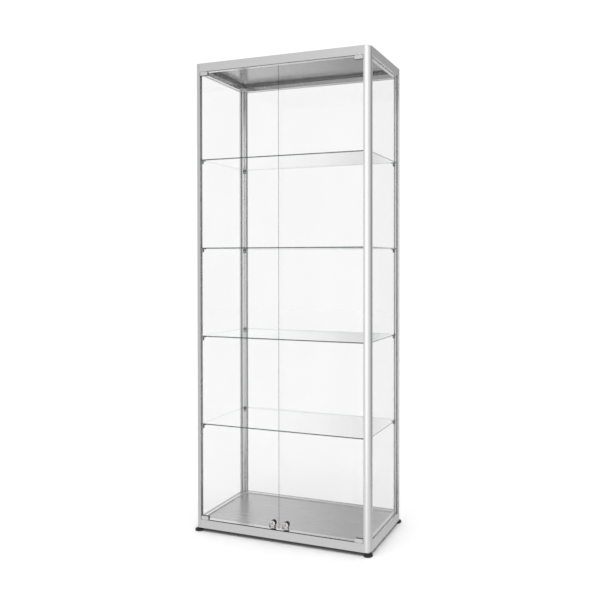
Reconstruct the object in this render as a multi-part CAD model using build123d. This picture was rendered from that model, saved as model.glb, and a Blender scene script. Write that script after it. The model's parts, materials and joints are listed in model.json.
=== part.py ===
"""Glass display showcase: an aluminium frame, glass on all sides, two locking doors, four shelves.

Frame of reference: millimetres, +Z up, the front with the doors faces -Y. The origin is on the
floor, in the middle of the four posts.
"""

import math
import os

from build123d import *

# ---- Overall size ----
WIDTH = 800.0
DEPTH = 400.0
HEIGHT = 2000.0
FRAME_BOTTOM = 16.0  # underside of the frame above the floor
CORNERS = ("front_left", "front_right", "rear_left", "rear_right")
SIDES = ("front", "right", "rear", "left")
PAST = 1.0  # how far joined and cutting shapes run past a face

# ---- Posts: one extrusion for all four corners ----
POST = 28.0  # side of the section, and radius of its rounded outer corner
POST_CHAMFER = 10.0  # cut across the inner corner, for the shelf supports
POST_BORE = 6.0  # radius of the full-length bore
BORE_INSET = 13.5  # bore axis from both outer faces
SLOT_MOUTH = 5.2
SLOT_LIP = 2.2
SLOT_WIDTH = 9.0
SLOT_DEPTH = 4.0
CAP_PLATE = 1.5
CAP_PLUG_LENGTH = 12.0

# ---- Rails ----
RAIL_DEPTH = 28.0
RAIL_HEIGHT = 35.5
RAIL_WALL = 3.0
BOARD = 4.0  # thickness of the floor and ceiling boards
BOARD_LEVEL = 28.5  # underside of the board above the underside of its rail
BOARD_SEAT = 10.0  # depth of the groove that holds the board
BOARD_EDGE_GAP = 1.0  # board edge to the bottom of its groove
BOARD_CORNER_GAP = 0.4  # cut corner of the board to the post, measured along X
BASE_CHAMBER = (3.0, 24.0)  # hollow of a base rail, from its underside
TOP_CHAMBER = (11.0, 25.5)  # hollow of a top rail, from its underside
GROOVE_LINE = 1.0  # shallow decorative groove along the inner face of a top rail

# ---- Fixed glass and its gaskets ----
PANE = 4.0
PANE_CENTRE = 10.0  # middle of the pane from the outer face
PANE_GROOVE = 6.0
POST_GROOVE_DEPTH = 7.0
RAIL_GROOVE_DEPTH = 8.0
PANE_ENTRY_POST = 6.0  # how far a pane reaches into a post
PANE_ENTRY_RAIL = 7.0  # how far a pane reaches into a rail
GASKET_FIT = 0.1
GASKET_RIM = 0.7

# ---- Corner connectors inside the rails ----
CONNECTOR_LENGTH = 40.0
CONNECTOR_FIT = 0.2
TONGUE_LENGTH = 6.5
TONGUE_HALF_HEIGHT = 6.0
TENSION_SCREW = 2.5
TENSION_SCREW_INSET = 20.0
TENSION_SCREW_TIP = 15.0  # tip of the screw from the outer face
TENSION_SCREW_ACCESS = 2.7  # radius of the hole in the rail in front of the screw
TENSION_SOCKET_RADIUS = 1.25
TENSION_SOCKET_DEPTH = 2.5
SCREW_FIT = 0.05

# ---- Doors ----
DOOR_GLASS = 5.0
DOOR_FRONT = 4.0  # front face of the glass behind the front of the frame
DOOR_EDGE_GAP = 2.0  # glass to post
DOOR_END_GAP = 3.2  # glass to rail
DOOR_MEETING_GAP = 1.5  # glass edge to the middle of the showcase
CLAMP_LENGTH = 35.0
CLAMP_HEIGHT = 15.0
CLAMP_CORNER = 4.0  # radius of its two inner corners
CLAMP_WEB = 2.0
CLAMP_COVER = 4.0  # thickness of each cheek of the clamp
PIVOT_INSET = 12.5  # pivot axis from the hinge edge of the glass
PIVOT_PIN = 3.0
PIVOT_PIN_ENTRY = 9.5  # how far the pin goes into the rail
BUSH_OUTER = 5.0
BUSH_BORE = 3.06
BUSH_BORE_DEPTH = 13.0
BUSH_LENGTH = 10.5
BUSH_FLANGE = 6.4
BUSH_FLANGE_HEIGHT = 1.0
CLAMP_SCREW = 2.0
CLAMP_SCREW_INSETS = (19.5, 28.5)  # from the hinge edge of the glass
CLAMP_SCREW_RECESS = 0.3
CLAMP_SOCKET_RADIUS = 1.0
CLAMP_SOCKET_DEPTH = 2.0

# ---- Locks: a key turns a plug, whose eccentric pin drives a bolt down into the base rail ----
LOCK_X = 30.0
LOCK_ABOVE_RAIL = 26.5
LOCK_RING = 13.0
LOCK_RING_FRONT = 5.0  # ring proud of the glass
LOCK_RING_ROUNDING = 3.5
LOCK_BARREL = 9.5
LOCK_HOLE = 9.8
HOUSING_RADIUS = 12.5
HOUSING_DEPTH = 10.0
HOUSING_LEG = 7.5  # half width of the leg below the housing
HOUSING_CLEARANCE = 1.5  # leg above the rail
PLUG_RADIUS = 5.5
PLUG_FIT = 0.06
PLUG_PROUD = 0.5  # plug in front of the ring
PLUG_DISC = 8.0
PLUG_DISC_DEPTH = 2.2
PLUG_DISC_GAP = 1.0  # disc behind the glass
PLUG_POCKET_WALL = 0.5  # housing wall in front of the disc
CRANK = 5.0  # eccentricity of the drive pin
CRANK_ANGLE = 45.0  # pin above the horizontal at rest; it turns 90 degrees down
CRANK_PIN = 1.5
BOLT_WIDTH = 8.0
BOLT_DEPTH = 3.0
BOLT_BEHIND_GLASS = 4.0
BOLT_FIT = 0.3
BOLT_REST = 0.4  # bolt tip above the underside of the leg at rest
BOLT_ARM_REACH = 7.0
BOLT_ARM_HALF = 3.6
STRIKE_LENGTH = 26.0
STRIKE_DEPTH = 11.0
STRIKE_THICKNESS = 1.2
STRIKE_FIT = 0.1
BOLT_HOLE_MARGIN = 0.5
BOLT_HOLE_DEPTH = 12.0

# ---- Keys ----
KEY_THICKNESS = 2.0
KEY_BLADE = 6.6
KEY_BOW = 11.0
KEY_REACH = 227.0  # front of the bow from the middle of the showcase
KEY_HOLE = 3.0
KEY_HOLE_OFFSET = 4.5
KEYWAY_FIT = 0.15
KEY_TIP_GAP = 0.2  # tip of the blade to the end of the keyway

# ---- Shelves ----
SHELF_COUNT = 4
SHELF_GLASS = 5.0
SHELF_PITCH = 379.0
SHELF_MIDDLE = 1025.0  # height of the middle of the shelf stack
SHELF_HALF_WIDTH = 384.0
SHELF_FRONT = 176.0
SHELF_REAR = 184.0
SHELF_CORNER_GAP = 2.0
SUPPORT_GAP = 0.3
SUPPORT_BLOCK = 5.0
SUPPORT_HALF_WIDTH = 6.0
SUPPORT_HEIGHT = 15.0
TONGUE_REACH = 16.0
SHELF_TONGUE_HALF = 5.0
SHELF_TONGUE_THICKNESS = 3.0
SUPPORT_SCREW = 2.0
SUPPORT_HOLE = 2.1
SUPPORT_SCREW_LEVEL = 9.0  # below the underside of the glass
SUPPORT_SCREW_HEAD = 3.5
SUPPORT_SCREW_HEAD_HEIGHT = 2.4
SUPPORT_SOCKET_RADIUS = 1.5
SUPPORT_SOCKET_DEPTH = 1.6
NUT_HALF_HEIGHT = 5.0

# ---- Levelling feet ----
FOOT_RADIUS = 19.0
FOOT_EDGE = 1.0  # bevel around the sole
FOOT_RIM = 7.0
FOOT_NECK = 12.5
FOOT_SHOULDER = 11.0
STUD = 4.0
STUD_TOP = 50.0
STUD_FOOT = 3.0
STUD_FIT = 0.06
FOOT_NUT = 6.5  # half of the nut's width across its flats
FOOT_NUT_GAP = 0.2
INSERT_RADIUS = 5.95  # of the foot inserts and of the plugs under the caps
INSERT_LENGTH = 38.0

# ---- Places worked out from the sizes above ----
HALF_W = WIDTH / 2
HALF_D = DEPTH / 2
TOP_RAIL_BOTTOM = HEIGHT - RAIL_HEIGHT
BASE_RAIL_TOP = FRAME_BOTTOM + RAIL_HEIGHT
OPENING_MIDDLE = (BASE_RAIL_TOP + TOP_RAIL_BOTTOM) / 2
POST_TOP = HEIGHT - CAP_PLATE
CHAMFER_LINE = HALF_W + HALF_D - 2 * POST + POST_CHAMFER  # |x| + |y| on the post chamfers
BOARD_LINE = CHAMFER_LINE - BOARD_CORNER_GAP
SHELF_LINE = CHAMFER_LINE - SHELF_CORNER_GAP * math.sqrt(2)
GLASS_FRONT = -HALF_D + DOOR_FRONT
GLASS_REAR = GLASS_FRONT + DOOR_GLASS
GLASS_MIDDLE = (GLASS_FRONT + GLASS_REAR) / 2
HINGE_EDGE = HALF_W - POST - DOOR_EDGE_GAP
PIVOT_X = HINGE_EDGE - PIVOT_INSET
DOOR_BOTTOM = BASE_RAIL_TOP + DOOR_END_GAP
DOOR_TOP = TOP_RAIL_BOTTOM - DOOR_END_GAP
LOCK_Z = BASE_RAIL_TOP + LOCK_ABOVE_RAIL
PLUG_FRONT = GLASS_FRONT - LOCK_RING_FRONT - PLUG_PROUD
HOUSING_REAR = GLASS_REAR + HOUSING_DEPTH
BOLT_FRONT = GLASS_REAR + BOLT_BEHIND_GLASS
BOLT_REAR = BOLT_FRONT + BOLT_DEPTH
LEG_BOTTOM = BASE_RAIL_TOP + HOUSING_CLEARANCE
CRANK_RISE = CRANK * math.sin(math.radians(CRANK_ANGLE))
BOLT_THROW = 2 * CRANK_RISE
FOOT_X = HALF_W - BORE_INSET
FOOT_Y = HALF_D - BORE_INSET


# ---- Small helpers ----
def block(x, y, z):
    """A box from three (low, high) pairs."""
    size = Box(x[1] - x[0], y[1] - y[0], z[1] - z[0])
    return Pos((x[0] + x[1]) / 2, (y[0] + y[1]) / 2, (z[0] + z[1]) / 2) * size


def rect(x, y):
    """A flat rectangle from two (low, high) pairs."""
    return Pos((x[0] + x[1]) / 2, (y[0] + y[1]) / 2) * Rectangle(x[1] - x[0], y[1] - y[0])


def upright(x, y, radius, z):
    """A round bar along Z."""
    return Pos(x, y, (z[0] + z[1]) / 2) * Cylinder(radius, z[1] - z[0])


def lying(x, z, radius, y):
    """A round bar along Y."""
    return Pos(x, (y[0] + y[1]) / 2, z) * Rot(90, 0, 0) * Cylinder(radius, y[1] - y[0])


def across(y, z, radius, x):
    """A round bar along X."""
    return Pos((x[0] + x[1]) / 2, y, z) * Rot(0, 90, 0) * Cylinder(radius, x[1] - x[0])


def clipped_plate(half_x, y, line, z):
    """A plate whose four corners are cut at |x| + |y| = line."""
    front, rear = -y[0], y[1]
    outline = Polygon(
        (half_x, half_x - line),
        (half_x, line - half_x),
        (line - rear, rear),
        (rear - line, rear),
        (-half_x, line - half_x),
        (-half_x, half_x - line),
        (front - line, -front),
        (line - front, -front),
        align=None,
    )
    return Pos(0, 0, z[0]) * extrude(outline, z[1] - z[0])


def mirror_x(shape):
    """The same shape on the other side of the showcase."""
    return mirror(shape, about=Plane.YZ)


def at_corners(shape):
    """A front-left shape repeated at all four corners."""
    front = [shape, mirror_x(shape)]
    return front + [mirror(item, about=Plane.XZ) for item in front]


def at_both_ends(shape):
    """A shape at the foot of a door and its reflection at the head."""
    return [shape, mirror(shape, about=Plane.XY.offset(OPENING_MIDDLE))]


def group(shapes):
    """Separate solids kept in one sub-part."""
    return Compound([solid for shape in shapes for solid in shape.solids()])


# ---- Posts ----
def corner_outline():
    """Plan outline of a post in the front-left corner, with its outer corner at (0, 0)."""
    outline = rect((0, POST), (0, POST)) & Pos(POST, POST) * Circle(POST)
    cut = Pos(POST, POST) * Rot(0, 0, 45) * Rectangle(math.sqrt(2) * POST_CHAMFER, 2 * POST)
    return outline - cut


def post():
    section = corner_outline() - Pos(BORE_INSET, BORE_INSET) * Circle(POST_BORE)
    groove = (PANE_CENTRE - PANE_GROOVE / 2, PANE_CENTRE + PANE_GROOVE / 2)
    mouth = (POST - POST_GROOVE_DEPTH, POST + PAST)
    section -= rect(groove, mouth)
    section -= rect(mouth, groove)
    chamfer = Pos(POST - POST_CHAMFER / 2, POST - POST_CHAMFER / 2) * Rot(0, 0, 45)
    section -= chamfer * rect((-SLOT_LIP - PAST, PAST), (-SLOT_MOUTH / 2, SLOT_MOUTH / 2))
    section -= chamfer * rect((-SLOT_LIP - SLOT_DEPTH, -SLOT_LIP), (-SLOT_WIDTH / 2, SLOT_WIDTH / 2))
    return Pos(-HALF_W, -HALF_D, FRAME_BOTTOM) * extrude(section, POST_TOP - FRAME_BOTTOM)


def post_cap():
    plate = Pos(-HALF_W, -HALF_D, POST_TOP) * extrude(corner_outline(), CAP_PLATE)
    plug = upright(-FOOT_X, -FOOT_Y, INSERT_RADIUS, (POST_TOP - CAP_PLUG_LENGTH, POST_TOP))
    return plate + plug


# ---- Rails and their connectors, drawn at the front and then turned to each side ----
def rail_length(side):
    return (WIDTH if side % 2 == 0 else DEPTH) - 2 * POST


def outer_face(side):
    return HALF_D if side % 2 == 0 else HALF_W


def to_side(side, shape):
    """Turn a front shape to side 0 front, 1 right, 2 rear or 3 left."""
    return Rot(0, 0, 90 * side) * shape


def chamber(is_top):
    return TOP_CHAMBER if is_top else BASE_CHAMBER


def rail_section(side, is_top):
    """Section of a rail: x in from the outer face, y up from the underside."""
    section = rect((0, RAIL_DEPTH), (0, RAIL_HEIGHT))
    section -= rect((RAIL_WALL, RAIL_DEPTH - RAIL_WALL), chamber(is_top))
    section -= rect((RAIL_DEPTH - BOARD_SEAT, RAIL_DEPTH + PAST), (BOARD_LEVEL, BOARD_LEVEL + BOARD))
    if side != 0:
        groove = (PANE_CENTRE - PANE_GROOVE / 2, PANE_CENTRE + PANE_GROOVE / 2)
        low, high = (-PAST, RAIL_GROOVE_DEPTH)
        if not is_top:
            low, high = (RAIL_HEIGHT - RAIL_GROOVE_DEPTH, RAIL_HEIGHT + PAST)
        section -= rect(groove, (low, high))
    if is_top:
        line = (RAIL_GROOVE_DEPTH - GROOVE_LINE, RAIL_GROOVE_DEPTH + GROOVE_LINE)
        section -= rect((RAIL_DEPTH - GROOVE_LINE, RAIL_DEPTH + PAST), line)
    return section


def rail(side, is_top):
    length = rail_length(side)
    face = -outer_face(side)
    bottom = TOP_RAIL_BOTTOM if is_top else FRAME_BOTTOM
    plane = Plane(origin=(-length / 2, face, bottom), x_dir=(0, 1, 0), z_dir=(1, 0, 0))
    body = extrude(plane * rail_section(side, is_top), length)
    level = bottom + sum(chamber(is_top)) / 2
    wall = (face + RAIL_DEPTH - RAIL_WALL - PAST, face + RAIL_DEPTH + PAST)
    for end in (-1, 1):
        body -= lying(end * (length / 2 - TENSION_SCREW_INSET), level, TENSION_SCREW_ACCESS, wall)
    if side == 0:
        body -= group(hinge_bores(is_top))
        if not is_top:
            body -= group([strike_recess(), mirror_x(strike_recess())])
    return to_side(side, body)


def connectors(side, is_top):
    """The two tension connectors and screws in the ends of one rail."""
    length = rail_length(side)
    face = -outer_face(side)
    low, high = chamber(is_top)
    bottom = TOP_RAIL_BOTTOM if is_top else FRAME_BOTTOM
    level = bottom + (low + high) / 2
    inset = length / 2 - TENSION_SCREW_INSET
    half = (high - low) / 2 - CONNECTOR_FIT
    width = (face + RAIL_WALL + CONNECTOR_FIT, face + RAIL_DEPTH - RAIL_WALL - CONNECTOR_FIT)
    reach = (length / 2 - CONNECTOR_LENGTH, length / 2 - GASKET_FIT)
    core = block(reach, width, (level - half, level + half))
    groove_half = PANE_GROOVE / 2 - CONNECTOR_FIT
    groove = (face + PANE_CENTRE - groove_half, face + PANE_CENTRE + groove_half)
    height = (level - TONGUE_HALF_HEIGHT, level + TONGUE_HALF_HEIGHT)
    core += block((length / 2 - PAST, length / 2 + TONGUE_LENGTH), groove, height)
    threaded = (face + TENSION_SCREW_TIP, face + RAIL_DEPTH - GASKET_FIT)
    core -= lying(inset, level, TENSION_SCREW + SCREW_FIT, threaded)
    screw = lying(inset, level, TENSION_SCREW, threaded)
    socket = (threaded[1] - TENSION_SOCKET_DEPTH, threaded[1] + PAST)
    screw -= lying(inset, level, TENSION_SOCKET_RADIUS, socket)
    blocks = [to_side(side, item) for item in (core, mirror_x(core))]
    screws = [to_side(side, item) for item in (screw, mirror_x(screw))]
    return blocks, screws


# ---- Boards, fixed panes and gaskets ----
def board(rail_bottom):
    half_x = HALF_W - RAIL_DEPTH + BOARD_SEAT - BOARD_EDGE_GAP
    half_y = HALF_D - RAIL_DEPTH + BOARD_SEAT - BOARD_EDGE_GAP
    low = rail_bottom + BOARD_LEVEL
    return clipped_plate(half_x, (-half_y, half_y), BOARD_LINE, (low, low + BOARD))


def pane(side, extra=0.0, thickness=PANE):
    """The fixed glass of one side; extra grows its edges and thickness replaces its own."""
    middle = -outer_face(side) + PANE_CENTRE
    half = rail_length(side) / 2 + PANE_ENTRY_POST + extra
    low = BASE_RAIL_TOP - PANE_ENTRY_RAIL - extra
    high = TOP_RAIL_BOTTOM + PANE_ENTRY_RAIL + extra
    depth = (middle - thickness / 2, middle + thickness / 2)
    return to_side(side, block((-half, half), depth, (low, high)))


def gasket(side):
    """A frame of U section around one fixed pane."""
    middle = -outer_face(side) + PANE_CENTRE
    half = rail_length(side) / 2
    window = block((-half, half), (middle - PANE, middle + PANE), (BASE_RAIL_TOP, TOP_RAIL_BOTTOM))
    frame = pane(side, GASKET_RIM, PANE_GROOVE - 2 * GASKET_FIT)
    return frame - to_side(side, window) - pane(side)


# ---- Levelling feet ----
def foot_insert():
    top = FRAME_BOTTOM + INSERT_LENGTH
    sleeve = upright(-FOOT_X, -FOOT_Y, INSERT_RADIUS, (FRAME_BOTTOM, top))
    return sleeve - upright(-FOOT_X, -FOOT_Y, STUD + STUD_FIT, (FRAME_BOTTOM - PAST, top + PAST))


def foot_pad():
    profile = Polygon(
        (0, 0),
        (FOOT_RADIUS - FOOT_EDGE, 0),
        (FOOT_RADIUS, FOOT_EDGE),
        (FOOT_RADIUS, FOOT_RIM),
        (FOOT_NECK, FOOT_SHOULDER),
        (0, FOOT_SHOULDER),
        align=None,
    )
    pad = Pos(-FOOT_X, -FOOT_Y, 0) * revolve(Plane.XZ * profile, Axis.Z)
    return pad - upright(-FOOT_X, -FOOT_Y, STUD, (STUD_FOOT, FOOT_SHOULDER + PAST))


def foot_stud():
    stud = upright(-FOOT_X, -FOOT_Y, STUD, (STUD_FOOT, STUD_TOP))
    hexagon = RegularPolygon(FOOT_NUT, 6, major_radius=False)
    height = FRAME_BOTTOM - FOOT_NUT_GAP - FOOT_SHOULDER
    nut = Pos(-FOOT_X, -FOOT_Y, FOOT_SHOULDER) * extrude(hexagon, height)
    return stud + nut


# ---- Door hinges, drawn for the right door ----
def hinge_bores(is_top):
    """The two bores in a front rail where the bushes sit."""
    depth = (BASE_RAIL_TOP - BUSH_BORE_DEPTH, BASE_RAIL_TOP + PAST)
    foot, head = at_both_ends(upright(PIVOT_X, GLASS_MIDDLE, BUSH_OUTER, depth))
    bore = head if is_top else foot
    return [bore, mirror_x(bore)]


def hinge_bush():
    low = BASE_RAIL_TOP - BUSH_LENGTH
    flange_top = BASE_RAIL_TOP + BUSH_FLANGE_HEIGHT
    bush = upright(PIVOT_X, GLASS_MIDDLE, BUSH_OUTER, (low, BASE_RAIL_TOP))
    bush += upright(PIVOT_X, GLASS_MIDDLE, BUSH_FLANGE, (BASE_RAIL_TOP, flange_top))
    return bush - upright(PIVOT_X, GLASS_MIDDLE, BUSH_BORE, (low - PAST, flange_top + PAST))


def hinge_clamp():
    """A cheek on each face of the glass, joined by a web under its edge, with rounded inner corners."""
    bottom = DOOR_BOTTOM - CLAMP_WEB
    inner = HINGE_EDGE - CLAMP_LENGTH
    depth = (GLASS_FRONT - CLAMP_COVER, GLASS_REAR + CLAMP_COVER)
    clamp = block((inner, HINGE_EDGE), depth, (bottom, bottom + CLAMP_HEIGHT))
    clamp = fillet(clamp.edges().filter_by(Axis.Y).group_by(Axis.X)[0], CLAMP_CORNER)
    glass_slot = (DOOR_BOTTOM, DOOR_BOTTOM + CLAMP_HEIGHT)
    clamp -= block((inner - PAST, HINGE_EDGE + PAST), (GLASS_FRONT, GLASS_REAR), glass_slot)
    clamp -= upright(PIVOT_X, GLASS_MIDDLE, PIVOT_PIN, (bottom - PAST, DOOR_BOTTOM))
    for screw in clamp_screws(SCREW_FIT):
        clamp -= screw
    return clamp


def clamp_screws(fit=0.0):
    """The screws of one clamp; with a fit they are the holes for them."""
    level = DOOR_BOTTOM - CLAMP_WEB + CLAMP_HEIGHT / 2
    rear = GLASS_REAR + CLAMP_COVER
    reach = (GLASS_REAR, rear + PAST if fit else rear - CLAMP_SCREW_RECESS)
    return [lying(HINGE_EDGE - inset, level, CLAMP_SCREW + fit, reach) for inset in CLAMP_SCREW_INSETS]


def socketed_clamp_screws():
    """Clamp screws with a round socket in the rear end."""
    rear = GLASS_REAR + CLAMP_COVER
    socket = (rear - CLAMP_SCREW_RECESS - CLAMP_SOCKET_DEPTH, rear)
    screws = []
    for screw in clamp_screws():
        centre = screw.center()
        screws.append(screw - lying(centre.X, centre.Z, CLAMP_SOCKET_RADIUS, socket))
    return screws


def pivot_pin():
    return upright(PIVOT_X, GLASS_MIDDLE, PIVOT_PIN, (BASE_RAIL_TOP - PIVOT_PIN_ENTRY, DOOR_BOTTOM))


def door_glass():
    sheet = block((DOOR_MEETING_GAP, HINGE_EDGE), (GLASS_FRONT, GLASS_REAR), (DOOR_BOTTOM, DOOR_TOP))
    return sheet - lying(LOCK_X, LOCK_Z, LOCK_HOLE, (GLASS_FRONT - PAST, GLASS_REAR + PAST))


# ---- Lock, drawn for the right door ----
def lock_body():
    """Ring in front of the glass, barrel through it, and the bolt housing behind it."""
    ring = lying(LOCK_X, LOCK_Z, LOCK_RING, (GLASS_FRONT - LOCK_RING_FRONT, GLASS_FRONT))
    front_rim = ring.edges().filter_by(GeomType.CIRCLE).sort_by(Axis.Y)[0]
    body = fillet(front_rim, LOCK_RING_ROUNDING)
    body += lying(LOCK_X, LOCK_Z, LOCK_BARREL, (GLASS_FRONT - PAST, GLASS_REAR + PAST))
    body += lying(LOCK_X, LOCK_Z, HOUSING_RADIUS, (GLASS_REAR, HOUSING_REAR))
    leg = (LOCK_X - HOUSING_LEG, LOCK_X + HOUSING_LEG)
    body += block(leg, (GLASS_REAR, HOUSING_REAR), (LEG_BOTTOM, LOCK_Z))
    channel = (BOLT_FRONT - BOLT_FIT, BOLT_REAR + BOLT_FIT)
    body -= lying(LOCK_X, LOCK_Z, PLUG_RADIUS + PLUG_FIT, (PLUG_FRONT - PAST, BOLT_FRONT))
    body -= lying(LOCK_X, LOCK_Z, PLUG_DISC + BOLT_FIT, (GLASS_REAR + PLUG_POCKET_WALL, BOLT_FRONT))
    half = BOLT_WIDTH / 2 + BOLT_FIT
    head = CRANK_RISE + BOLT_ARM_HALF + BOLT_FIT
    body -= block((LOCK_X - half, LOCK_X + half), channel, (LEG_BOTTOM - PAST, LOCK_Z + head))
    reach = BOLT_ARM_REACH + BOLT_FIT
    body -= block((LOCK_X - half, LOCK_X + reach), channel, (LOCK_Z - head, LOCK_Z + head))
    return body


def lock_plug():
    """Keyed barrel, rear disc and eccentric drive pin in one piece."""
    disc_front = GLASS_REAR + PLUG_DISC_GAP
    disc_rear = disc_front + PLUG_DISC_DEPTH
    plug = lying(LOCK_X, LOCK_Z, PLUG_RADIUS, (PLUG_FRONT, disc_rear))
    plug += lying(LOCK_X, LOCK_Z, PLUG_DISC, (disc_front, disc_rear))
    pin_x = LOCK_X + CRANK * math.cos(math.radians(CRANK_ANGLE))
    plug += lying(pin_x, LOCK_Z + CRANK_RISE, CRANK_PIN, (disc_front, BOLT_REAR))
    slot = (LOCK_X - KEY_THICKNESS / 2 - KEYWAY_FIT, LOCK_X + KEY_THICKNESS / 2 + KEYWAY_FIT)
    height = (LOCK_Z - KEY_BLADE / 2 - KEYWAY_FIT, LOCK_Z + KEY_BLADE / 2 + KEYWAY_FIT)
    return plug - block(slot, (PLUG_FRONT - PAST, GLASS_REAR), height)


def key():
    """Flat key: a round bow in front, its blade in the plug."""
    centre = -KEY_REACH + KEY_BOW
    thickness = (LOCK_X - KEY_THICKNESS / 2, LOCK_X + KEY_THICKNESS / 2)
    height = (LOCK_Z - KEY_BLADE / 2, LOCK_Z + KEY_BLADE / 2)
    bow = across(centre, LOCK_Z, KEY_BOW, thickness)
    blade = block(thickness, (centre, GLASS_REAR - KEY_TIP_GAP), height)
    hole_width = (thickness[0] - PAST, thickness[1] + PAST)
    return bow + blade - across(centre - KEY_HOLE_OFFSET, LOCK_Z, KEY_HOLE, hole_width)


def bolt():
    """Flat bolt with a side arm, whose notch takes the drive pin."""
    tip = LEG_BOTTOM + BOLT_REST
    middle = LOCK_Z + CRANK_RISE
    top = middle + BOLT_ARM_HALF
    depth = (BOLT_FRONT, BOLT_REAR)
    half = BOLT_WIDTH / 2
    body = block((LOCK_X - half, LOCK_X + half), depth, (tip, top))
    body += block((LOCK_X, LOCK_X + BOLT_ARM_REACH), depth, (middle - BOLT_ARM_HALF, top))
    notch = CRANK_PIN + BOLT_FIT
    pin_inner = LOCK_X + CRANK_RISE - notch
    opening = (middle - notch, middle + notch)
    width = (pin_inner, LOCK_X + BOLT_ARM_REACH + PAST)
    return body - block(width, (BOLT_FRONT - PAST, BOLT_REAR + PAST), opening)


def bolt_hole(z):
    half = BOLT_WIDTH / 2 + BOLT_HOLE_MARGIN
    depth = (BOLT_FRONT - BOLT_HOLE_MARGIN, BOLT_REAR + BOLT_HOLE_MARGIN)
    return block((LOCK_X - half, LOCK_X + half), depth, z)


def strike_plate_blank(fit=0.0):
    middle = (BOLT_FRONT + BOLT_REAR) / 2
    half_x = STRIKE_LENGTH / 2 - fit
    half_y = STRIKE_DEPTH / 2 - fit
    height = (BASE_RAIL_TOP - STRIKE_THICKNESS, BASE_RAIL_TOP + (0 if fit else PAST))
    return block((LOCK_X - half_x, LOCK_X + half_x), (middle - half_y, middle + half_y), height)


def strike_recess():
    """Shallow seat for the strike plate and the hole that the bolt drops into."""
    return strike_plate_blank() + bolt_hole((BASE_RAIL_TOP - BOLT_HOLE_DEPTH, BASE_RAIL_TOP + PAST))


def strike_plate():
    through = (BASE_RAIL_TOP - STRIKE_THICKNESS - PAST, BASE_RAIL_TOP + PAST)
    return strike_plate_blank(STRIKE_FIT) - bolt_hole(through)


# ---- Shelves ----
def shelf_underside(index):
    middle = SHELF_MIDDLE + (index - (SHELF_COUNT - 1) / 2) * SHELF_PITCH
    return middle - SHELF_GLASS / 2


def on_chamfer(level, shape):
    """Place a shape drawn with +X pointing out of the chamfer on the front-left post."""
    x = -HALF_W + POST - POST_CHAMFER / 2
    y = -HALF_D + POST - POST_CHAMFER / 2
    return Pos(x, y, level) * Rot(0, 0, 45) * shape


def shelf_support():
    """Clamping block with a tongue that carries the corner of the glass."""
    front = SUPPORT_GAP + SUPPORT_BLOCK
    half = SUPPORT_HALF_WIDTH
    support = block((SUPPORT_GAP, front), (-half, half), (-SUPPORT_HEIGHT, 0))
    tongue_end = TONGUE_REACH - SHELF_TONGUE_HALF
    tongue = (-SHELF_TONGUE_HALF, SHELF_TONGUE_HALF)
    support += block((front - PAST, tongue_end), tongue, (-SHELF_TONGUE_THICKNESS, 0))
    support += upright(tongue_end, 0, SHELF_TONGUE_HALF, (-SHELF_TONGUE_THICKNESS, 0))
    return support - across(0, -SUPPORT_SCREW_LEVEL, SUPPORT_HOLE, (-PAST, front + PAST))


def shelf_nut():
    """Nut that slides in the slot of the post."""
    near = -SLOT_LIP - SUPPORT_GAP
    far = -SLOT_LIP - SLOT_DEPTH + SUPPORT_GAP
    half = SLOT_WIDTH / 2 - SUPPORT_GAP
    height = (-SUPPORT_SCREW_LEVEL - NUT_HALF_HEIGHT, -SUPPORT_SCREW_LEVEL + NUT_HALF_HEIGHT)
    nut = block((far, near), (-half, half), height)
    return nut - across(0, -SUPPORT_SCREW_LEVEL, SUPPORT_SCREW + SCREW_FIT, (far - PAST, near + PAST))


def shelf_screw():
    front = SUPPORT_GAP + SUPPORT_BLOCK
    head_front = front + SUPPORT_SCREW_HEAD_HEIGHT
    tip = -SLOT_LIP - SLOT_DEPTH + SUPPORT_GAP
    screw = across(0, -SUPPORT_SCREW_LEVEL, SUPPORT_SCREW, (tip, front))
    screw += across(0, -SUPPORT_SCREW_LEVEL, SUPPORT_SCREW_HEAD, (front, head_front))
    socket = (head_front - SUPPORT_SOCKET_DEPTH, head_front + PAST)
    return screw - across(0, -SUPPORT_SCREW_LEVEL, SUPPORT_SOCKET_RADIUS, socket)


def shelf_glass(index):
    low = shelf_underside(index)
    depth = (-SHELF_FRONT, SHELF_REAR)
    return clipped_plate(SHELF_HALF_WIDTH, depth, SHELF_LINE, (low, low + SHELF_GLASS))


# ---- Sub-parts ----
def frame_parts():
    parts = {}
    for name, shape in zip(CORNERS, at_corners(post())):
        parts[f"{name}_post"] = shape
    blocks = []
    screws = []
    for level, is_top in (("base", False), ("top", True)):
        for side, name in enumerate(SIDES):
            parts[f"{level}_{name}_rail"] = rail(side, is_top)
            pair, pair_screws = connectors(side, is_top)
            blocks += pair
            screws += pair_screws
    parts["rail_connectors"] = group(blocks)
    parts["connector_screws"] = group(screws)
    parts["base_board"] = board(FRAME_BOTTOM)
    parts["top_board"] = board(TOP_RAIL_BOTTOM)
    for side, name in list(enumerate(SIDES))[1:]:
        parts[f"{name}_glass"] = pane(side)
    parts["pane_gaskets"] = group([gasket(side) for side in (1, 2, 3)])
    parts["post_caps"] = group(at_corners(post_cap()))
    parts["foot_inserts"] = group(at_corners(foot_insert()))
    bushes = at_both_ends(hinge_bush())
    parts["hinge_bushes"] = group(bushes + [mirror_x(item) for item in bushes])
    parts["lock_strikes"] = group([strike_plate(), mirror_x(strike_plate())])
    return parts


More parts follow.
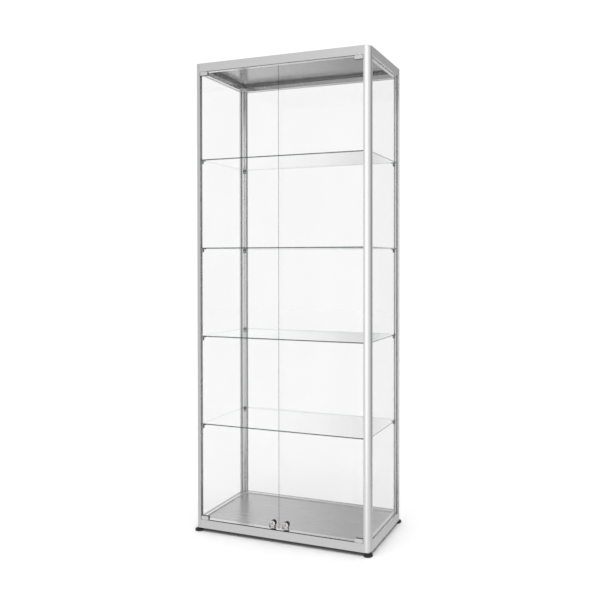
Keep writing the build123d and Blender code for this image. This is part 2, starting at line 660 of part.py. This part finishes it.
def door_parts():
    screws = [item for screw in socketed_clamp_screws() for item in at_both_ends(screw)]
    right = {
        "door_glass": door_glass(),
        "door_clamps": group(at_both_ends(hinge_clamp())),
        "door_pivot_pins": group(at_both_ends(pivot_pin())),
        "door_clamp_screws": group(screws),
        "lock_body": lock_body(),
        "lock_plug": lock_plug(),
        "lock_bolt": bolt(),
        "key": key(),
    }
    parts = {f"right_{name}": shape for name, shape in right.items()}
    for name, shape in right.items():
        parts[f"left_{name}"] = group([mirror_x(solid) for solid in shape.solids()])
    return parts


def shelf_parts():
    parts = {}
    for index in range(SHELF_COUNT):
        level = shelf_underside(index)
        name = f"shelf_{index + 1}"
        parts[f"{name}_glass"] = shelf_glass(index)
        parts[f"{name}_supports"] = group(at_corners(on_chamfer(level, shelf_support())))
        fasteners = at_corners(on_chamfer(level, shelf_nut()))
        fasteners += at_corners(on_chamfer(level, shelf_screw()))
        parts[f"{name}_fasteners"] = group(fasteners)
    return parts


def foot_parts():
    parts = {}
    for name, pad, stud in zip(CORNERS, at_corners(foot_pad()), at_corners(foot_stud())):
        parts[f"{name}_foot_pad"] = pad
        parts[f"{name}_foot_stud"] = stud
    return parts


def main():
    os.makedirs("parts", exist_ok=True)
    parts = {**frame_parts(), **door_parts(), **shelf_parts(), **foot_parts()}
    for name, shape in parts.items():
        export_step(shape, f"parts/{name}.step")
    print(f"{len(parts)} sub-parts, bolt throw {BOLT_THROW:.3f} mm, lock height {LOCK_Z:.1f} mm")


main()
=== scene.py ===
"""Looks of the glass display showcase: materials, small trim, a white studio and the camera."""

import json
import math

import bmesh
import bpy
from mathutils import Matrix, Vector


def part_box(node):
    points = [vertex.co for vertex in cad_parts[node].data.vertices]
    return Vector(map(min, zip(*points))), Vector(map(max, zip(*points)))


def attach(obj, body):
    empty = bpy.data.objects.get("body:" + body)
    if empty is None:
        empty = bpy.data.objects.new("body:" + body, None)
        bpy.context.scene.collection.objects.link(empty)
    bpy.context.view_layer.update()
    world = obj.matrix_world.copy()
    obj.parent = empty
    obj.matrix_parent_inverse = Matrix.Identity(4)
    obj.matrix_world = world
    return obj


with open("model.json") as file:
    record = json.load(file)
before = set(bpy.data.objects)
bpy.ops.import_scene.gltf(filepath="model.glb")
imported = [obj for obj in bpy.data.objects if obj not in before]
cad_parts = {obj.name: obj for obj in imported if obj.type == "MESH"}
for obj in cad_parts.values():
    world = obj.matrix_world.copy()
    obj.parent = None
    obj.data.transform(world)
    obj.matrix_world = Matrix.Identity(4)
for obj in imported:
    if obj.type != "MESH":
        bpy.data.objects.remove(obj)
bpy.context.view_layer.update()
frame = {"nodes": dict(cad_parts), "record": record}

# ---- Camera ----
CAMERA_PLACE = (1.31395, -2.71102, 1.16211)
CAMERA_TILT = 89.364
CAMERA_TURN = 20.009
CAMERA_LENS = 41.245
CAMERA_SHIFT = (-0.1167, -0.0533)
GLASS_LAYERS = 48  # transparent faces that a ray may pass through

# ---- Studio ----
FLOOR_HALF = 12.0
FLOOR_TONES = (0.985, 1.0)
FLOOR_CLOUDS = 1.5  # cells of its faint cloudiness per metre
BACKDROP = 1.05  # what the camera sees behind the object, just past white
SKY_LOW, SKY_HIGH = 0.08, 2.02  # light that falls on matt surfaces, at the horizon and overhead
SKY_POWER = 2.0  # how the dome's light gathers towards the top
# What metal mirrors at eye level, as (azimuth in degrees, radiance): 0 front, 90 right, 180 rear.
SURROUNDINGS = (
    (-180, 0.50), (-168, 0.95), (-161.3, 0.95), (-160.3, 0.44), (-158.5, 0.44), (-156.5, 0.80),
    (-153, 1.00), (-149, 1.12), (-120, 0.75), (-93, 0.64), (-45, 0.64), (-34, 0.70),
    (-27, 0.77), (-9, 0.83), (13, 0.95), (21, 1.75), (33, 1.65), (45, 1.20), (60, 1.00),
    (74, 0.85), (90, 0.80), (104, 0.45), (122, 0.26), (136, 0.44), (150, 0.50), (163, 0.40),
    (180, 0.40),
)
# What it mirrors steeply above and below: radiance, how much of the surroundings that hides,
# and the sines of the heights where it starts and is complete.
ABOVE, ABOVE_SHARE, ABOVE_FROM, ABOVE_TO = 0.40, 1.0, 0.55, 0.85
BELOW, BELOW_SHARE, BELOW_FROM, BELOW_TO = 0.70, 0.9, -0.29, -0.38
LAMP_PLACE = (0.2, -1.2, 3.0)
LAMP_AIM = (0.1, -0.5, 0)
LAMP_SIZE = (1.5, 1.0)
LAMP_WATTS = 13

# ---- Surfaces ----
NOISE_LOW, NOISE_HIGH = 0.3, 0.7  # nearly all noise values lie between these
LINE_STRETCH = 0.001  # scale of the noise along drawn or brushed lines
LINE_BUMP = 0.015
LINE_SHARE = 0.15  # part of the wear that changes the roughness from line to line
RELIEF = 0.0001  # height of lines and grain, in metres
DARKENING = 4  # how much stronger the wear is in the colour than in the roughness
METAL_CELLS = 2200.0  # lines per metre on anodised aluminium
METAL_WEAR = 0.015
METAL_CLOUDS = 9.0  # cells per metre
METAL_DETAIL = 4.0
METAL_LINE_TONE = 0.6  # part of the tone that comes from the lines, the rest from the clouds
FRONT_LIMIT = 0.6  # a face is a front where the Y part of its normal is larger than this; off the front, a metal with a side tone gets painted shade
PAINTED_SIDE_SHADE = 0.8  # the darkest painted shade tone off the front, as a share of the lightest
BOARD_CELLS = 1500.0
BOARD_CLOUDS = 5.0
BOARD_DETAIL = 2.0
BOARD_LINE_TONE = 0.75
BOARD_METALLIC = 0.85
BOARD_UNEVENNESS = 0.009  # change of roughness from line to line
GRAIN_CELLS = 1500.0
GRAIN_CLOUDS = 25.0
GRAIN_BUMP = 0.25
GRAIN_UNEVENNESS = 0.06
GRAIN_GAIN, GRAIN_LIFT = 1.25, 0.004  # a plastic's lighter tone: its colour times this, plus this

# ---- Glass ----
EDGE_LIMIT = 0.5  # a face looks off an axis where that part of its normal is smaller than this
MIRROR_LEAST, MIRROR_MORE = 0.03, 0.35  # what a face mirrors head on, and adds at a glance
MIRROR_POWER = 5.0
SMEAR_CELLS = 6.0
SMEAR_STRETCH = (1, 1, 0.4)
SMEAR_DETAIL = 6.0
SMEAR_TINT = 0.006
SMEAR_ROUGHNESS = 0.05
EDGE = (0.030, 0.055, 0.050)  # grey-green of a cut edge
EDGE_GLOW = (0.90, 0.94, 0.925)  # tint of the light that comes through it
EDGE_CELLS = 60.0
EDGE_SHADE = 0.7
EDGE_ROUGHNESS = (0.10, 0.22)
EDGE_COAT = 0.3
FRONT_EDGE_SOLID_AND_SHADE = 0.85  # share of an edge that isn't see-through, where it looks forwards or back: partly the real dark cut, partly painted shade
OTHER_EDGE_LESS_SHADE = 0.37  # how much less that is on the other edges, painted lighter because of their direction
INNER_EDGE_LESS_SHADE = 0.88  # and what share of it is lost on an edge seen from inside the glass, painted lighter there

# ---- Colours ----
FRAME_METAL = (0.80, 0.80, 0.805)
FRAME_ROUGHNESS = 0.27
# Metals by slot: colour, roughness, axis of the lines, cells per metre, wear, painted shade tone
# off the front.
METALS = {
    "cast_connector": ((0.52, 0.53, 0.54), 0.55, None, 700.0, 0.06),
    "steel_screw": ((0.50, 0.51, 0.52), 0.30, None, 900.0),
    "zinc_steel": ((0.56, 0.57, 0.60), 0.32, None, 800.0),
    "dark_steel": ((0.07, 0.07, 0.075), 0.40, 0, 1200.0),
    "clamp_aluminium": ((0.82, 0.82, 0.825), 0.40, 0, 2500.0),
    "pin_steel": ((0.60, 0.61, 0.62), 0.22, 2, 2500.0),
    # lock_chrome's last value is a near-black tone painted on its sides: painted shade and dark
    # reflection
    "lock_chrome": ((0.86, 0.86, 0.87), 0.07, None, 300.0, METAL_WEAR, 0.06),
    "plug_steel": ((0.66, 0.62, 0.58), 0.18, None, 900.0, 0.02),
    "key_nickel": ((0.74, 0.66, 0.58), 0.18, 2, 1600.0, 0.04),
    "support_chrome": ((0.10, 0.10, 0.105), 0.22, None, 500.0, 0.02),
}
# Plastics and rubbers by slot: colour, roughness.
PLASTICS = {
    "gasket_rubber": ((0.42, 0.42, 0.43), 0.55),
    "cap_plastic": ((0.42, 0.42, 0.43), 0.42),
    "bush_plastic": ((0.78, 0.78, 0.75), 0.40),
    "foot_plastic": ((0.010, 0.010, 0.011), 0.45),
}
# Boards by node: material name, two tones, roughness.
BOARDS = {
    "base_board": ("floor_sheet", (0.52, 0.53), 0.27),
    "top_board": ("ceiling_sheet", (0.38, 0.39), 0.20),
}
# Glass by the way its faces look: material name, axis, how clear a face is.
PANES = {
    "side": ("pane_glass_x", 0, 0.993),
    "front": ("pane_glass_y", 1, 0.982),
    "shelf": ("shelf_glass_z", 2, 0.998),
}
BLACK_RUBBER_AND_SHADE = (0.035, 0.035, 0.036)
GREY_SHADE = (0.19, 0.19, 0.19)
RUBBER_ROUGHNESS = 0.6

# ---- Small trim and painted shade strips, in metres ----
GAP_SHADE_FRONT, GAP_SHADE_REAR = -0.1998, -0.1925  # dark strips on the front rails, along Y: painted shade in the gaps where the doors close
GAP_SHADE_HALF = 0.333
GAP_SHADE_HEIGHT = 0.0007
CEILING_SHADE_DEPTH = 0.011
CEILING_SHADE_THICKNESS = 0.0008
STRIP_ROUNDING = 0.25  # as a share of a strip's thickness
STRIP_SEGMENTS = 2
CLAMP_HEIGHT, CLAMP_CORNER = 0.015, 0.004
CORNER_STEPS = 6
PAD_RIM = 0.0007
PAD_THICKNESS = 0.0011
HAIR = 0.00004  # keeps trim from touching the face it lies on


def grey(value):
    return (value, value, value, 1.0)


def shade(colour, factor=1.0):
    """A colour made darker by a factor, opaque."""
    return (*(channel * factor for channel in colour), 1.0)


# ---- Node helpers ----
class Nodes:
    """A node tree under construction, with short calls for its nodes."""

    def __init__(self, tree):
        self.tree = tree
        self.tree.nodes.clear()

    def add(self, kind, inputs=None, **settings):
        node = self.tree.nodes.new(kind)
        for key, value in settings.items():
            setattr(node, key, value)
        for key, value in (inputs or {}).items():
            self.feed(node.inputs[key], value)
        return node

    def feed(self, socket, value):
        """A number or colour is set on the socket; another node's socket is linked."""
        if isinstance(value, bpy.types.NodeSocket):
            self.tree.links.new(value, socket)
        else:
            socket.default_value = value

    def math(self, operation, *values):
        node = self.add("ShaderNodeMath", operation=operation)
        for socket, value in zip(node.inputs, values):
            self.feed(socket, value)
        return node.outputs[0]

    def ramp(self, value, start, end, share=1.0):
        """Rises from 0 at start to share at end."""
        limits = {"Value": value, "From Min": start, "From Max": end, "To Max": share}
        return self.add("ShaderNodeMapRange", limits).outputs[0]

    def blend(self, factor, first, second):
        """Colour between first and second: a Mix node's inputs 6 and 7 and output 2."""
        node = self.add("ShaderNodeMix", data_type="RGBA")
        self.feed(node.inputs[0], factor)
        self.feed(node.inputs[6], first)
        self.feed(node.inputs[7], second)
        return node.outputs[2]


class Shader(Nodes):
    """A material under construction."""

    def __init__(self, name):
        self.material = bpy.data.materials.new(name)
        self.material.use_nodes = True
        super().__init__(self.material.node_tree)
        self.output = self.add("ShaderNodeOutputMaterial")
        self.coords = self.add("ShaderNodeTexCoord")

    def noise(self, scale, stretch=(1, 1, 1), detail=3.0):
        """Noise in metres: scale in cells per metre, stretch per axis."""
        place = {"Vector": self.coords.outputs["Object"], "Scale": stretch}
        mapping = self.add("ShaderNodeMapping", place)
        look = {"Vector": mapping.outputs[0], "Scale": scale, "Detail": detail}
        return self.add("ShaderNodeTexNoise", look).outputs["Fac"]

    def spread(self, value, low, high):
        """Noise turned into the range low to high."""
        limits = {
            "Value": value,
            "From Min": NOISE_LOW,
            "From Max": NOISE_HIGH,
            "To Min": low,
            "To Max": high,
        }
        return self.add("ShaderNodeMapRange", limits).outputs[0]

    def mixed(self, lines, clouds, share):
        """Lines and clouds together, with the given share of lines."""
        return self.math("MULTIPLY_ADD", lines, share, self.math("MULTIPLY", clouds, 1 - share))

    def bump(self, height, strength):
        relief = {"Height": height, "Strength": strength, "Distance": RELIEF}
        return self.add("ShaderNodeBump", relief).outputs[0]

    def normal(self):
        """The parts of the surface's normal, one output per axis."""
        facing = {"Vector": self.coords.outputs["Normal"]}
        return self.add("ShaderNodeSeparateXYZ", facing).outputs

    def looks_off(self, part, limit):
        """1 where a part of the normal is smaller than limit, either way."""
        return self.math("LESS_THAN", self.math("ABSOLUTE", part), limit)

    def finish(self, surface):
        self.tree.links.new(surface.outputs[0], self.output.inputs["Surface"])
        return self.material


# ---- Metals and plastics ----
def metal(name, colour, roughness, along, cells=METAL_CELLS, wear=METAL_WEAR, side=None):
    """Metal with fine lines along one axis and faint cloudiness; side is a painted shade tone for
    its faces off the front.
    """
    shader = Shader(name)
    stretch = [1.0, 1.0, 1.0]
    if along is not None:
        stretch[along] = LINE_STRETCH
    lines = shader.noise(cells, stretch, METAL_DETAIL)
    clouds = shader.noise(METAL_CLOUDS)
    mix = shader.mixed(lines, clouds, METAL_LINE_TONE)
    tone = shader.blend(mix, shade(colour, 1 - DARKENING * wear), shade(colour))
    # Painted shade: faces that don't look forwards get a darker tone, standing in for shade and
    # dark reflections on the sides.
    if side is not None:
        painted_shade_off_front = shader.looks_off(shader.normal()[1], FRONT_LIMIT)
        painted_shade_tone = shader.blend(mix, grey(side * PAINTED_SIDE_SHADE), grey(side))
        tone = shader.blend(painted_shade_off_front, tone, painted_shade_tone)
    fine = shader.spread(lines, -LINE_SHARE * wear, LINE_SHARE * wear)
    coarse = shader.spread(clouds, roughness - wear, roughness + wear)
    surface = {
        "Base Color": tone,
        "Metallic": 1.0,
        "Roughness": shader.math("ADD", fine, coarse),
        "Normal": shader.bump(lines, LINE_BUMP),
    }
    return shader.finish(shader.add("ShaderNodeBsdfPrincipled", surface))


def board_surface(name, tones, roughness):
    """Satin silver-grey sheet, brushed from side to side."""
    shader = Shader(name)
    lines = shader.noise(BOARD_CELLS, (LINE_STRETCH, 1, 1), BOARD_DETAIL)
    clouds = shader.noise(BOARD_CLOUDS)
    mix = shader.mixed(lines, clouds, BOARD_LINE_TONE)
    smoothest, roughest = roughness - BOARD_UNEVENNESS, roughness + BOARD_UNEVENNESS
    surface = {
        "Base Color": shader.blend(shader.spread(mix, 0.0, 1.0), grey(tones[0]), grey(tones[1])),
        "Metallic": BOARD_METALLIC,
        "Roughness": shader.spread(lines, smoothest, roughest),
        "Normal": shader.bump(lines, LINE_BUMP),
    }
    return shader.finish(shader.add("ShaderNodeBsdfPrincipled", surface))


def plastic(name, colour, roughness):
    """Moulded plastic or rubber with a fine grain."""
    shader = Shader(name)
    grain = shader.noise(GRAIN_CELLS)
    clouds = shader.noise(GRAIN_CLOUDS)
    light = [channel * GRAIN_GAIN + GRAIN_LIFT for channel in colour]
    smoothest, roughest = roughness - GRAIN_UNEVENNESS, roughness + GRAIN_UNEVENNESS
    surface = {
        "Base Color": shader.blend(clouds, shade(colour), shade(light)),
        "Roughness": shader.spread(grain, smoothest, roughest),
        "Normal": shader.bump(grain, GRAIN_BUMP),
    }
    return shader.finish(shader.add("ShaderNodeBsdfPrincipled", surface))


# ---- Glass ----
def glass_face(shader, clear):
    """See-through face with faint smears that mirrors more at a glance."""
    facing = shader.add("ShaderNodeLayerWeight", {"Blend": 0.5}).outputs["Facing"]
    glance = shader.math("POWER", facing, MIRROR_POWER)
    mirror = shader.math("MULTIPLY_ADD", glance, MIRROR_MORE, MIRROR_LEAST)
    smears = shader.noise(SMEAR_CELLS, SMEAR_STRETCH, SMEAR_DETAIL)
    tint = shader.blend(shader.spread(smears, 0.0, 1.0), grey(clear), grey(clear - SMEAR_TINT))
    roughness = shader.spread(smears, 0.0, SMEAR_ROUGHNESS)
    through = shader.add("ShaderNodeBsdfTransparent", {"Color": tint})
    gloss = shader.add("ShaderNodeBsdfGlossy", {"Color": grey(1.0), "Roughness": roughness})
    both = {0: mirror, 1: through.outputs[0], 2: gloss.outputs[0]}
    return shader.add("ShaderNodeMixShader", both)


def glass_edge(shader, front_part):
    """Cut edge: dark grey-green gloss, through which some light comes; painted shade makes it
    darker where it looks forwards or back and lighter where it is seen from inside.
    """
    depth = shader.noise(EDGE_CELLS)
    cut = shader.add(
        "ShaderNodeBsdfPrincipled",
        {
            "Base Color": shader.blend(depth, shade(EDGE), shade(EDGE, EDGE_SHADE)),
            "Roughness": shader.spread(depth, *EDGE_ROUGHNESS),
            "Coat Weight": EDGE_COAT,
        },
    )
    through = shader.add("ShaderNodeBsdfTransparent", {"Color": shade(EDGE_GLOW)})
    painted_shade_off_front = shader.looks_off(front_part, EDGE_LIMIT)
    inside = shader.add("ShaderNodeNewGeometry").outputs["Backfacing"]
    # Painted shade: edges that look forwards or back are darker and less see-through than the
    # others, and much lighter where seen from inside.
    painted_edge_shade = shader.math("MULTIPLY_ADD", painted_shade_off_front, -OTHER_EDGE_LESS_SHADE, FRONT_EDGE_SOLID_AND_SHADE)
    painted_shade_kept = shader.math("MULTIPLY_ADD", inside, -INNER_EDGE_LESS_SHADE, 1.0)
    share = shader.math("MULTIPLY", painted_edge_shade, painted_shade_kept)
    both = {0: share, 1: through.outputs[0], 2: cut.outputs[0]}
    return shader.add("ShaderNodeMixShader", both)


def glass(name, axis, clear):
    """Clear sheet glass whose faces look along one axis; its other sides are cut edges."""
    shader = Shader(name)
    normal = shader.normal()
    is_edge = shader.looks_off(normal[axis], EDGE_LIMIT)
    face = glass_face(shader, clear)
    edge = glass_edge(shader, normal[1])
    both = {0: is_edge, 1: face.outputs[0], 2: edge.outputs[0]}
    return shader.finish(shader.add("ShaderNodeMixShader", both))


# ---- Studio ----
def mirrored_studio(studio, toward):
    """What metal mirrors in a direction: soft boxes and dark flags, plain above and below."""
    across, deep, height = toward
    azimuth = studio.math("ARCTAN2", across, studio.math("MULTIPLY", deep, -1.0))
    turn = studio.ramp(azimuth, -math.pi, math.pi)
    ramp = studio.add("ShaderNodeValToRGB", {"Fac": turn})
    strongest = max(radiance for _, radiance in SURROUNDINGS)
    stops = ramp.color_ramp.elements
    while len(stops) < len(SURROUNDINGS):
        stops.new(0.5)  # moved to its place below
    for stop, (angle, radiance) in zip(stops, SURROUNDINGS):
        stop.position = (angle + 180) / 360
        stop.color = grey(radiance / strongest)
    bright = {0: ramp.outputs[0], "Scale": strongest}
    around = studio.add("ShaderNodeVectorMath", bright, operation="SCALE").outputs[0]
    up = studio.ramp(height, ABOVE_FROM, ABOVE_TO, ABOVE_SHARE)
    down = studio.ramp(height, BELOW_FROM, BELOW_TO, BELOW_SHARE)
    return studio.blend(down, studio.blend(up, around, grey(ABOVE)), grey(BELOW))


def surroundings():
    """White to the camera, a soft dome to matt surfaces, soft boxes and dark flags to metal."""
    world = bpy.data.worlds.new("studio")
    bpy.context.scene.world = world
    world.use_nodes = True
    world.cycles.sampling_method = "NONE"
    studio = Nodes(world.node_tree)
    direction = studio.add("ShaderNodeTexCoord").outputs["Generated"]
    toward = studio.add("ShaderNodeSeparateXYZ", {"Vector": direction}).outputs
    overhead = studio.math("POWER", studio.math("MAXIMUM", toward[2], 0.0), SKY_POWER)
    dome = studio.blend(overhead, grey(SKY_LOW), grey(SKY_HIGH))
    path = studio.add("ShaderNodeLightPath").outputs
    direct = studio.math("LESS_THAN", path["Diffuse Depth"], 0.5)  # no matt surface in between
    by_metal = studio.math("MULTIPLY", path["Is Glossy Ray"], direct)
    light = studio.blend(by_metal, dome, mirrored_studio(studio, toward))
    seen = studio.blend(path["Is Camera Ray"], light, grey(BACKDROP))
    background = studio.add("ShaderNodeBackground", {"Color": seen})
    output = studio.add("ShaderNodeOutputWorld")
    studio.tree.links.new(background.outputs[0], output.inputs["Surface"])


def floor():
    """Pale matt floor as bright as the white behind it; metal mirrors the surroundings instead."""
    shader = Shader("studio_floor")
    dark, light = FLOOR_TONES
    tone = shader.blend(shader.noise(FLOOR_CLOUDS), grey(dark), grey(light))
    material = shader.finish(shader.add("ShaderNodeBsdfDiffuse", {"Color": tone}))
    signs = ((-1, -1), (1, -1), (1, 1), (-1, 1))
    corners = [(x * FLOOR_HALF, y * FLOOR_HALF, 0) for x, y in signs]
    mesh = bpy.data.meshes.new("floor")
    mesh.from_pydata(corners, [], [(0, 1, 2, 3)])
    plane = bpy.data.objects.new("floor", mesh)
    plane.data.materials.append(material)
    plane.visible_glossy = False
    bpy.context.collection.objects.link(plane)


def softbox():
    """Soft light from the front and above, which metal doesn't mirror."""
    data = bpy.data.lights.new("front_softbox", "AREA")
    data.shape = "RECTANGLE"
    data.size, data.size_y = LAMP_SIZE
    data.energy = LAMP_WATTS
    lamp = bpy.data.objects.new("front_softbox", data)
    lamp.location = LAMP_PLACE
    direction = Vector(LAMP_AIM) - Vector(LAMP_PLACE)
    lamp.rotation_euler = direction.to_track_quat("-Z", "Y").to_euler()
    lamp.visible_glossy = False
    bpy.context.collection.objects.link(lamp)


def camera():
    data = bpy.data.cameras.new("camera")
    data.lens = CAMERA_LENS
    data.shift_x, data.shift_y = CAMERA_SHIFT
    eye = bpy.data.objects.new("camera", data)
    eye.location = CAMERA_PLACE
    eye.rotation_euler = (math.radians(CAMERA_TILT), 0, math.radians(CAMERA_TURN))
    bpy.context.collection.objects.link(eye)
    bpy.context.scene.camera = eye


# ---- Materials of the CAD nodes ----
def drawn_axis(name):
    """The axis along which a post or rail was drawn."""
    if name.endswith("_post"):
        return 2
    return 0 if "front" in name or "rear" in name else 1


def pane_kind(name, slot):
    """Which way the faces of a pane, door or shelf look."""
    if slot == "shelf_glass":
        return "shelf"
    return "side" if name in ("left_glass", "right_glass") else "front"


def dress():
    """Give every CAD node its material: one per slot, but per direction on frame and glass."""
    by_slot = {slot: metal(slot, *values) for slot, values in METALS.items()}
    by_slot.update({slot: plastic(slot, *values) for slot, values in PLASTICS.items()})
    boards = {name: board_surface(*values) for name, values in BOARDS.items()}
    panes = {kind: glass(*values) for kind, values in PANES.items()}
    drawn = [
        metal(f"anodised_{letter}", FRAME_METAL, FRAME_ROUGHNESS, axis)
        for axis, letter in enumerate("xyz")
    ]
    for part in frame["record"]["subparts"]:
        name, slot = part["node"], part["material_slot"]
        if slot == "anodised_frame":
            material = drawn[drawn_axis(name)]
        elif slot == "silver_board":
            material = boards[name]
        elif slot.endswith("_glass"):
            material = panes[pane_kind(name, slot)]
        else:
            material = by_slot[slot]
        mesh = frame["nodes"][name].data
        mesh.materials.clear()
        mesh.materials.append(material)


# ---- Small trim and painted shade strips ----
def place(name, mesh, strip_material, body):
    """Turn a bmesh into an object of black or grey rubber-like material that moves with a body; the
    strips among them are painted shade.
    """
    material, slot = strip_material
    bmesh.ops.recalc_face_normals(mesh, faces=mesh.faces)
    data = bpy.data.meshes.new(name)
    mesh.to_mesh(data)
    mesh.free()
    data.materials.append(material)
    item = bpy.data.objects.new(name, data)
    bpy.context.collection.objects.link(item)
    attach(item, body)


def strip(mesh, span):
    """A dark strip with rounded edges that fills the box given as (x, y, z) spans; such strips are
    painted shade in gaps and corners.
    """
    corners = bmesh.ops.create_cube(mesh, size=1.0)["verts"]
    for corner in corners:
        corner.co = [low + (high - low) * (c + 0.5) for c, (low, high) in zip(corner.co, span)]
    edges = {edge for corner in corners for edge in corner.link_edges}
    rounding = STRIP_ROUNDING * min(high - low for low, high in span)
    bmesh.ops.bevel(
        mesh, geom=list(edges), offset=rounding, segments=STRIP_SEGMENTS, affect="EDGES"
    )


def clamp_outline(low, high, gap, round_side):
    """Points round a clamp's cheek at a gap from it, as (x, z).

    Its corners are rounded on one side only: round_side is 0 for low x and 1 for high x.
    """
    points = []
    for turn, (right, up) in enumerate(((1, 1), (0, 1), (0, 0), (1, 0))):
        radius = gap + (CLAMP_CORNER if right == round_side else HAIR)
        centre_x = high[0] + gap - radius if right else low[0] - gap + radius
        centre_z = high[1] + gap - radius if up else low[1] - gap + radius
        for step in range(CORNER_STEPS + 1):
            angle = math.pi / 2 * (turn + step / CORNER_STEPS)
            x = centre_x + radius * math.cos(angle)
            z = centre_z + radius * math.sin(angle)
            points.append((x, z))
    return points


def ring(mesh, low, high, depth, round_side):
    """The rim of a pad round the cheek between the (x, z) corners low and high."""
    loops = []
    for gap in (HAIR, PAD_RIM):
        points = clamp_outline(low, high, gap, round_side)
        loops.append([[mesh.verts.new((x, y, z)) for x, z in points] for y in depth])
    (inner_front, inner_rear), (outer_front, outer_rear) = loops
    around = (inner_front, outer_front, outer_rear, inner_rear, inner_front)
    count = len(inner_front)
    for first, second in zip(around, around[1:]):
        for i in range(count):
            j = (i + 1) % count
            mesh.faces.new((first[i], first[j], second[j], second[i]))


def door_gap_shade_strips(black_shade, grey_shade):
    """Thin dark strips along the two front rails, where the doors close: painted shade standing in
    for the shadow in those gaps.
    """
    low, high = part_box("base_front_rail")
    top_low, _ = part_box("top_front_rail")
    along, depth = (-GAP_SHADE_HALF, GAP_SHADE_HALF), (GAP_SHADE_FRONT, GAP_SHADE_REAR)
    heights = {
        "base_gap_shade": (high[2] + HAIR, high[2] + GAP_SHADE_HEIGHT),
        "top_gap_shade": (top_low[2] - GAP_SHADE_HEIGHT, top_low[2] - HAIR),
    }
    for name, strip_material in (("base_gap_shade", black_shade), ("top_gap_shade", grey_shade)):
        mesh = bmesh.new()
        strip(mesh, (along, depth, heights[name]))
        place(name, mesh, strip_material, "cabinet")


def ceiling_shade_strip(strip_material):
    """Dark strip in the corner between the ceiling board and the fixed rails: painted shade where
    that corner lies in shade.
    """
    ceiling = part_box("top_board")[0][2] - HAIR
    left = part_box("top_left_rail")[1][0] + HAIR
    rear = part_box("top_rear_rail")[0][1] - HAIR
    height = (ceiling - CEILING_SHADE_DEPTH, ceiling)
    deep = CEILING_SHADE_THICKNESS
    sides = (-rear, rear - deep - HAIR)
    mesh = bmesh.new()
    strip(mesh, ((left, left + deep), sides, height))
    strip(mesh, ((-left - deep, -left), sides, height))
    strip(mesh, ((left, -left), (rear - deep, rear), height))
    place("ceiling_shade_strip", mesh, strip_material, "cabinet")


def clamp_pads(strip_material):
    """Dark rims of the rubber pads that show around the cheeks of the door clamps."""
    for side, round_side in (("left", 1), ("right", 0)):
        low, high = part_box(f"{side}_door_clamps")
        glass_low, glass_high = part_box(f"{side}_door_glass")
        front = (glass_low[1] - PAD_THICKNESS, glass_low[1] - HAIR)
        rear = (glass_high[1] + HAIR, glass_high[1] + PAD_THICKNESS)
        mesh = bmesh.new()
        for bottom in (low[2], high[2] - CLAMP_HEIGHT):
            for depth in (front, rear):
                ring(mesh, (low[0], bottom), (high[0], bottom + CLAMP_HEIGHT), depth, round_side)
        place(f"{side}_clamp_pads", mesh, strip_material, f"{side}_door")


dress()
# Black rubber for the clamp pads, also used for the painted shade in the gap under the doors; the
# grey paints the shade above the doors and in the ceiling corner.
black_rubber_and_shade = (plastic("black_rubber_and_shade", BLACK_RUBBER_AND_SHADE, RUBBER_ROUGHNESS), "foot_plastic")
grey_shade_strip = (plastic("grey_shade_strip", GREY_SHADE, RUBBER_ROUGHNESS), "gasket_rubber")
door_gap_shade_strips(black_rubber_and_shade, grey_shade_strip)
ceiling_shade_strip(grey_shade_strip)
clamp_pads(black_rubber_and_shade)
surroundings()
floor()
softbox()
camera()

scene = bpy.context.scene
scene.view_settings.view_transform = "Standard"
scene.cycles.transparent_max_bounces = GLASS_LAYERS
